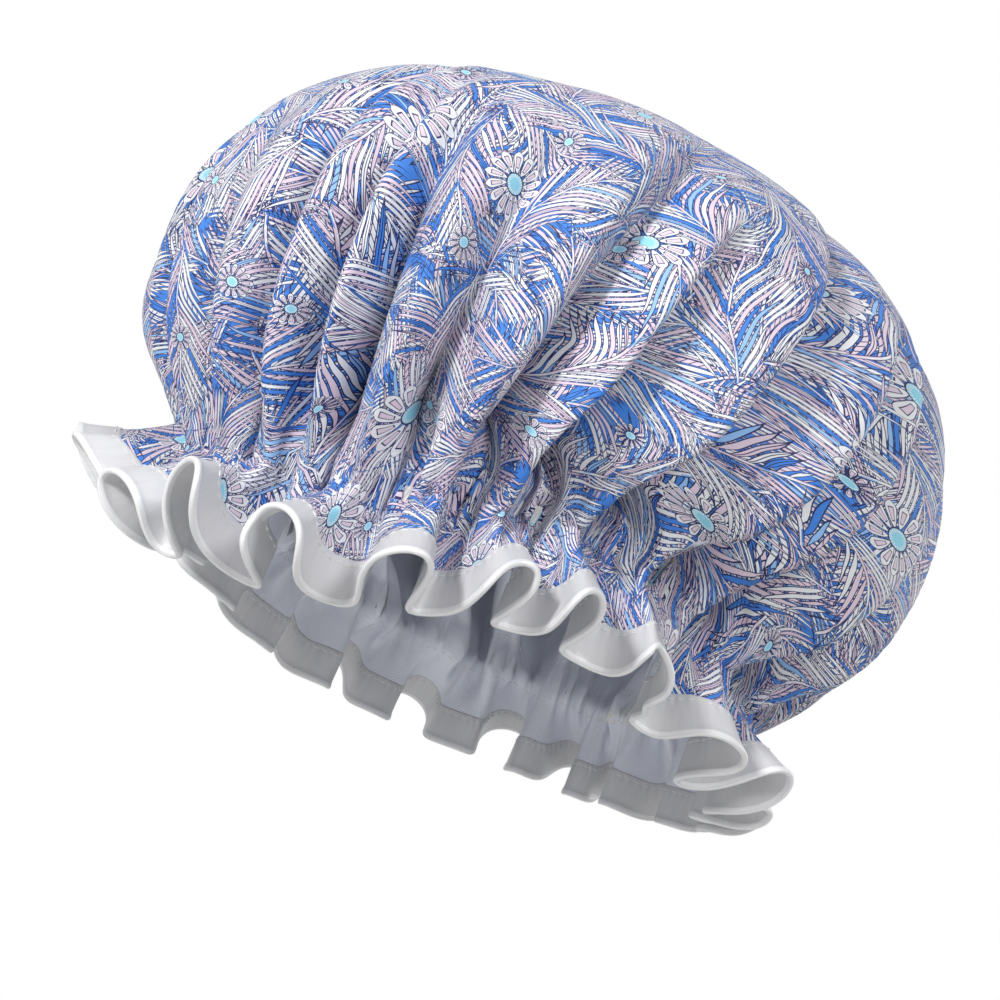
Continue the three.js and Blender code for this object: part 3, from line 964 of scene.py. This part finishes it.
def make_cover_and_lining():
    cover, outer, inner = make_cloth()
    lining = bpy.data.objects.new("coated_lining", cover.data.copy())
    bpy.context.scene.collection.objects.link(lining)
    set_points(cover.data, outer)
    set_points(lining.data, inner)
    lining.data.flip_normals()
    cover.data.materials.append(printed_cotton())
    lining.data.materials.append(coated_cloth())
    for piece, node in ((cover, "outer_cover"), (lining, "waterproof_lining")):
        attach(piece, "root")
        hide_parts(node)


def grid_faces(rows, columns, closed):
    """Faces between rows of points, each row closed on itself or open."""
    faces = []
    for row in range(rows - 1):
        for i in range(columns if closed else columns - 1):
            j = (i + 1) % columns
            this, following = row * columns, (row + 1) * columns
            faces.append((this + i, following + i, following + j, this + j))
    return faces


def make_elastic():
    """A flat elastic loop inside its channel, with its ends lapped at the back."""
    lap = LAP_WAVES
    back = WAVE_COUNT / 2
    count = ELASTIC_COLUMNS
    place = np.linspace(back - lap / 2, back + WAVE_COUNT + lap / 2, count)
    from_start = place - place[0]
    from_end = place[-1] - place
    shift = smooth_step(lap, LAP_EASE * lap, from_start) - smooth_step(lap, LAP_EASE * lap, from_end)
    shift = LAP_SHIFT * np.where(from_start < WAVE_COUNT / 2, shift - 1, shift + 1)
    half = ELASTIC_THICKNESS / 2
    around = np.array([*ELASTIC_ROWS, *reversed(ELASTIC_ROWS)]) * ELASTIC_WIDTH / 2
    sides = len(around)
    offs = [-half] * len(ELASTIC_ROWS) + [half] * len(ELASTIC_ROWS)
    rows = [layer_point(place, ELASTIC_REACH + across, shift + off) for across, off in zip(around, offs)]
    points = np.concatenate(rows)
    faces = grid_faces(sides + 1, count, closed=False)
    faces = [tuple(v % len(points) for v in face) for face in faces]
    faces.append(tuple(row * count for row in range(sides)))
    faces.append(tuple(row * count + count - 1 for row in reversed(range(sides))))
    elastic = new_piece("elastic_loop", points, faces)
    middle = np.linalg.norm(np.diff(rows[len(ELASTIC_ROWS) // 2], axis=0), axis=1)
    along = np.concatenate([[0], np.cumsum(middle)])
    strip = np.stack([np.tile(along, sides), np.repeat(around, count)], axis=-1)
    map_points(elastic.data, "strip", strip)
    elastic.data.materials.append(braided_elastic())
    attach(elastic, "root")
    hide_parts("elastic_band")


def binding_height(place, depth):
    """How far the binding stands off the cloth, at a place round the cap and a depth from the lip."""
    height = np.interp(depth, BINDING_DEPTHS, BINDING_HEIGHTS)
    stitch = (place * BINDING_STITCHES / WAVE_COUNT) % 1
    hole = np.exp(-((np.minimum(stitch, 1 - stitch) / HOLE_SHARE) ** 2))
    hole = hole * np.exp(-(((depth - STITCH_LINE) / HOLE_REACH) ** 2))
    pucker = np.cos(2 * math.pi * stitch) * (1 - PUCKER_CHANGE + PUCKER_CHANGE * swing(place, *PUCKER_SWING))
    pucker = pucker * np.exp(-(((depth - STITCH_LINE) / PUCKER_REACH) ** 2))
    ripple = swing(place, *RIPPLE_SWING) * swing(place, *RIPPLE_FADE) * min(depth / RIPPLE_EASE, 1)
    lap = smooth_step(*BINDING_LAP_START, place) * (1 - smooth_step(*BINDING_LAP_END, place))
    lap = lap * min(depth / BINDING_LAP_EASE, 1)
    height = height - HOLE_DEPTH * hole - PUCKER_HEIGHT * pucker
    return height + RIPPLE_HEIGHT * ripple + BINDING_LAP_HEIGHT * lap


def binding_point(place, depth, face, lift=0.0):
    """A point of the binding, on the outer face of the frill for 1 and on the inner face for -1."""
    off = face * (binding_height(place, depth) + lift)
    return layer_point(place, EDGE_REACH - depth, off)


def binding_lip(place, turn):
    """The rounded fold along the frill's edge."""
    edge = cloth_point(place, EDGE_REACH)
    normal = cloth_normal(place, EDGE_REACH)
    away = edge - cloth_point(place, EDGE_REACH - LIP_STEP)
    away /= np.linalg.norm(away, axis=1, keepdims=True)
    return edge + BINDING_LIP * (math.sin(turn) * normal + math.cos(turn) * away) + WAIST_CENTRE


def make_binding():
    """A satin strip folded over the frill's edge, with puckers and holes where it is sewn."""
    place = np.arange(BINDING_COLUMNS) * WAVE_COUNT / BINDING_COLUMNS
    depths = np.array([11.0, 10.8, 10.3, 9.8, 9.4, 9.0, 8.3, 7.2, 5.8, 4.4, 3.2, 2.4, 1.6, 0.9, 0.3]) * MM
    turns = np.radians([70, 40, 13, -13, -40, -70])
    rows = [binding_point(place, depth, 1) for depth in depths]
    rows += [binding_lip(place, turn) for turn in turns]
    rows += [binding_point(place, depth, -1) for depth in depths[::-1]]
    across = np.concatenate([-depths, -BINDING_LIP * turns, depths[::-1]])
    across += BINDING_LIP * math.pi / 2 * np.sign(across) * (np.abs(across) > BINDING_LIP * math.pi / 2)
    points = np.concatenate(rows)
    binding = new_piece("satin_binding", points, grid_faces(len(rows), BINDING_COLUMNS, closed=True))
    length = 2 * math.pi * EDGE_REACH
    along = np.tile(place / WAVE_COUNT * length, len(rows))
    map_points(binding.data, "strip", np.stack([along, np.repeat(across, BINDING_COLUMNS)], axis=-1))
    binding.data.materials.append(white_satin())
    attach(binding, "root")
    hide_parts("edge_binding")


def thread_tree():
    """Rounded stitches: each run of edges becomes one stitch, thinner at its ends where it dives."""
    inputs = {"Paths": "Geometry", "Thread radius": "Float", "Thread": "Material"}
    tree, given, result = new_group("stitches", "GeometryNodeTree", inputs, {"Stitches": "Geometry"})
    runs = new_node(tree, "GeometryNodeMeshToCurve", {"Mesh": given["Paths"]})
    even = new_node(tree, "GeometryNodeResampleCurve", {"Curve": runs.outputs[0], "Count": STITCH_POINTS})
    along = Field(tree, new_node(tree, "GeometryNodeSplineParameter").outputs["Factor"])
    middle = abs(along - 0.5) * 2.0
    thin = (middle * middle * middle * middle * -STITCH_TAPER + 1.0) * Field(tree, given["Thread radius"])
    outline = new_node(tree, "GeometryNodeCurvePrimitiveCircle", {"Resolution": STITCH_SIDES, "Radius": 1.0})
    shape = {"Curve": even.outputs[0], "Profile Curve": outline.outputs[0], "Scale": thin, "Fill Caps": True}
    tube = new_node(tree, "GeometryNodeCurveToMesh", shape)
    real = new_node(tree, "GeometryNodeRealizeInstances", {"Geometry": tube.outputs[0]})
    dyed = {"Geometry": real.outputs[0], "Material": given["Thread"]}
    spun = new_node(tree, "GeometryNodeSetMaterial", dyed)
    join(tree, spun.outputs[0], result["Stitches"])
    return tree


def make_stitches(name, tree, runs, radius, thread):
    """Stitches along runs of points, one run of three points for each stitch."""
    points = np.concatenate(runs)
    edges, start = [], 0
    for run in runs:
        edges += [(start + i, start + i + 1) for i in range(len(run) - 1)]
        start += len(run)
    stitches = new_piece(name, points, [], edges)
    sewing = stitches.modifiers.new("sewing", "NODES")
    sewing.node_group = tree
    values = {"Thread radius": radius, "Thread": thread}
    for item in tree.interface.items_tree:
        if item.in_out == "INPUT" and item.name in values:
            sewing[item.identifier] = values[item.name]
    make_plain(stitches)
    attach(stitches, "root")


def stitch_runs(count, length, point):
    """One run of three points for each stitch round the cap, raised in its middle."""
    starts = (np.arange(count) + (1 - length) / 2) * WAVE_COUNT / count
    step = length * WAVE_COUNT / count
    rows = [point(starts + step * share, lift) for share, lift in ((0, 0.0), (0.5, STITCH_RISE), (1, 0.0))]
    return list(np.stack(rows, axis=1))


def lap_zigzag():
    """The zigzag that joins the elastic's lapped ends, on both faces of the lap."""
    far = ZIGZAG_LAP_SHARE * LAP_WAVES
    corner = WAVE_COUNT / 2 + np.linspace(-far, far, 2 * LAP_ZIGZAGS + 1)
    across = ZIGZAG_HALF_WIDTH * (-1.0) ** np.arange(2 * LAP_ZIGZAGS + 1)
    runs = []
    for face in (1, -1):
        off = face * (LAP_SHIFT + ELASTIC_THICKNESS / 2 + ZIGZAG_OFF)
        for i in range(2 * LAP_ZIGZAGS):
            place = np.linspace(corner[i], corner[i + 1], 3)
            runs.append(layer_point(place, ELASTIC_REACH + np.linspace(across[i], across[i + 1], 3), off))
    return runs


def make_sewing():
    tree = thread_tree()
    white = twisted_thread("white thread", WHITE_THREAD)
    blue = twisted_thread("blue thread", BLUE_THREAD)
    runs = []
    for face in (1, -1):
        runs += stitch_runs(
            BINDING_STITCHES,
            BINDING_STITCH_SHARE,
            lambda place, lift: binding_point(place, STITCH_LINE, face, lift),
        )
    make_stitches("binding_stitches", tree, runs, THREAD_RADIUS, white)
    for name, face, thread in (("cover_channel_stitches", 1, blue), ("lining_channel_stitches", -1, white)):
        runs = []
        for reach in (ELASTIC_REACH - CHANNEL_HALF, ELASTIC_REACH + CHANNEL_HALF):
            off = float(layer_gap(np.array(reach))) + CHANNEL_STITCH_OFF
            runs += stitch_runs(
                CHANNEL_STITCHES,
                CHANNEL_STITCH_SHARE,
                lambda place, lift: layer_point(place, reach, face * (off + lift)),
            )
        make_stitches(name, tree, runs, THREAD_RADIUS, thread)
    make_stitches("lap_zigzag", tree, lap_zigzag(), ZIGZAG_THREAD_SHARE * THREAD_RADIUS, white)


SENSOR_WIDTH_MM = 36
LIGHT_AIM = Vector((0, 0, 80 * MM))
# How bright the white room is to the cloth, by how bright the camera sees it
ROOM_LIGHT = 0.12


def photo_camera():
    """The photograph's viewing angle, from below the brow and a little to the left of the wearer's face."""
    azimuth, elevation, roll = math.radians(38), math.radians(-14.96), math.radians(22.87)
    distance, focal_px, image_px = 0.61546, 2200, 1000
    aim_px = (550.2, 409.6)
    aim = Vector(WAIST_CENTRE) + Vector((0, 0, 60 * MM))
    tilt = Matrix.Rotation(math.pi / 2 - elevation, 3, "X") @ Matrix.Rotation(roll, 3, "Z")
    right, up, back = (Matrix.Rotation(azimuth, 3, "Z") @ tilt).transposed()
    centre_x = (image_px / 2 - aim_px[0]) / focal_px
    centre_y = (aim_px[1] - image_px / 2) / focal_px
    behind = (back - right * centre_x - up * centre_y).normalized()
    right = (right - behind * right.dot(behind)).normalized()
    up = behind.cross(right)
    camera = bpy.data.cameras.new("camera")
    camera.sensor_width = SENSOR_WIDTH_MM
    camera.lens = SENSOR_WIDTH_MM * focal_px / image_px
    eye = bpy.data.objects.new("camera", camera)
    turn = Matrix((right, up, behind)).transposed()
    eye.matrix_world = Matrix.Translation(aim + back * distance) @ turn.to_4x4()
    bpy.context.scene.collection.objects.link(eye)
    bpy.context.scene.camera = eye


def soft_light(name, place, size, power):
    light = bpy.data.lights.new(name, "AREA")
    light.shape = "DISK"
    light.size = size
    light.energy = power
    lamp = bpy.data.objects.new(name, light)
    lamp.location = place
    lamp.rotation_euler = (LIGHT_AIM - Vector(place)).to_track_quat("-Z", "Y").to_euler()
    bpy.context.scene.collection.objects.link(lamp)


def pale_floor():
    """A pale floor well below the cap, because the camera looks up at it."""
    half, level = 1.4, -0.35
    corners = [(-half, -half, level), (half, -half, level), (half, half, level), (-half, half, level)]
    floor = new_piece("floor", corners, [(0, 1, 2, 3)])
    material, _, _ = new_material("pale floor", FLOOR_WHITE, roughness=0.9, specular=0.1)
    floor.data.materials.append(material)


def studio():
    soft_light("key", place=(-0.15, -1.85, 0.7), size=0.35, power=30)
    soft_light("side fill", place=(1.4, -0.8, 0.95), size=0.5, power=15.5)
    soft_light("rim", place=(0.6, 1.7, 0.7), size=0.8, power=8)
    world = bpy.data.worlds.new("studio")
    world.use_nodes = True
    tree = world.node_tree
    rays = new_node(tree, "ShaderNodeLightPath").outputs
    seen = Field(tree, rays["Is Camera Ray"])
    seen = seen.at_least(rays["Is Glossy Ray"]).at_least(rays["Is Transmission Ray"])
    background = tree.nodes["Background"]
    background.inputs["Color"].default_value = (1, 1, 1, 1)
    join(tree, seen * (1 - ROOM_LIGHT) + ROOM_LIGHT, background.inputs["Strength"])
    bpy.context.scene.world = world
    bpy.context.scene.view_settings.view_transform = "Standard"


make_cover_and_lining()
make_elastic()
make_binding()
make_sewing()
photo_camera()
pale_floor()
studio()
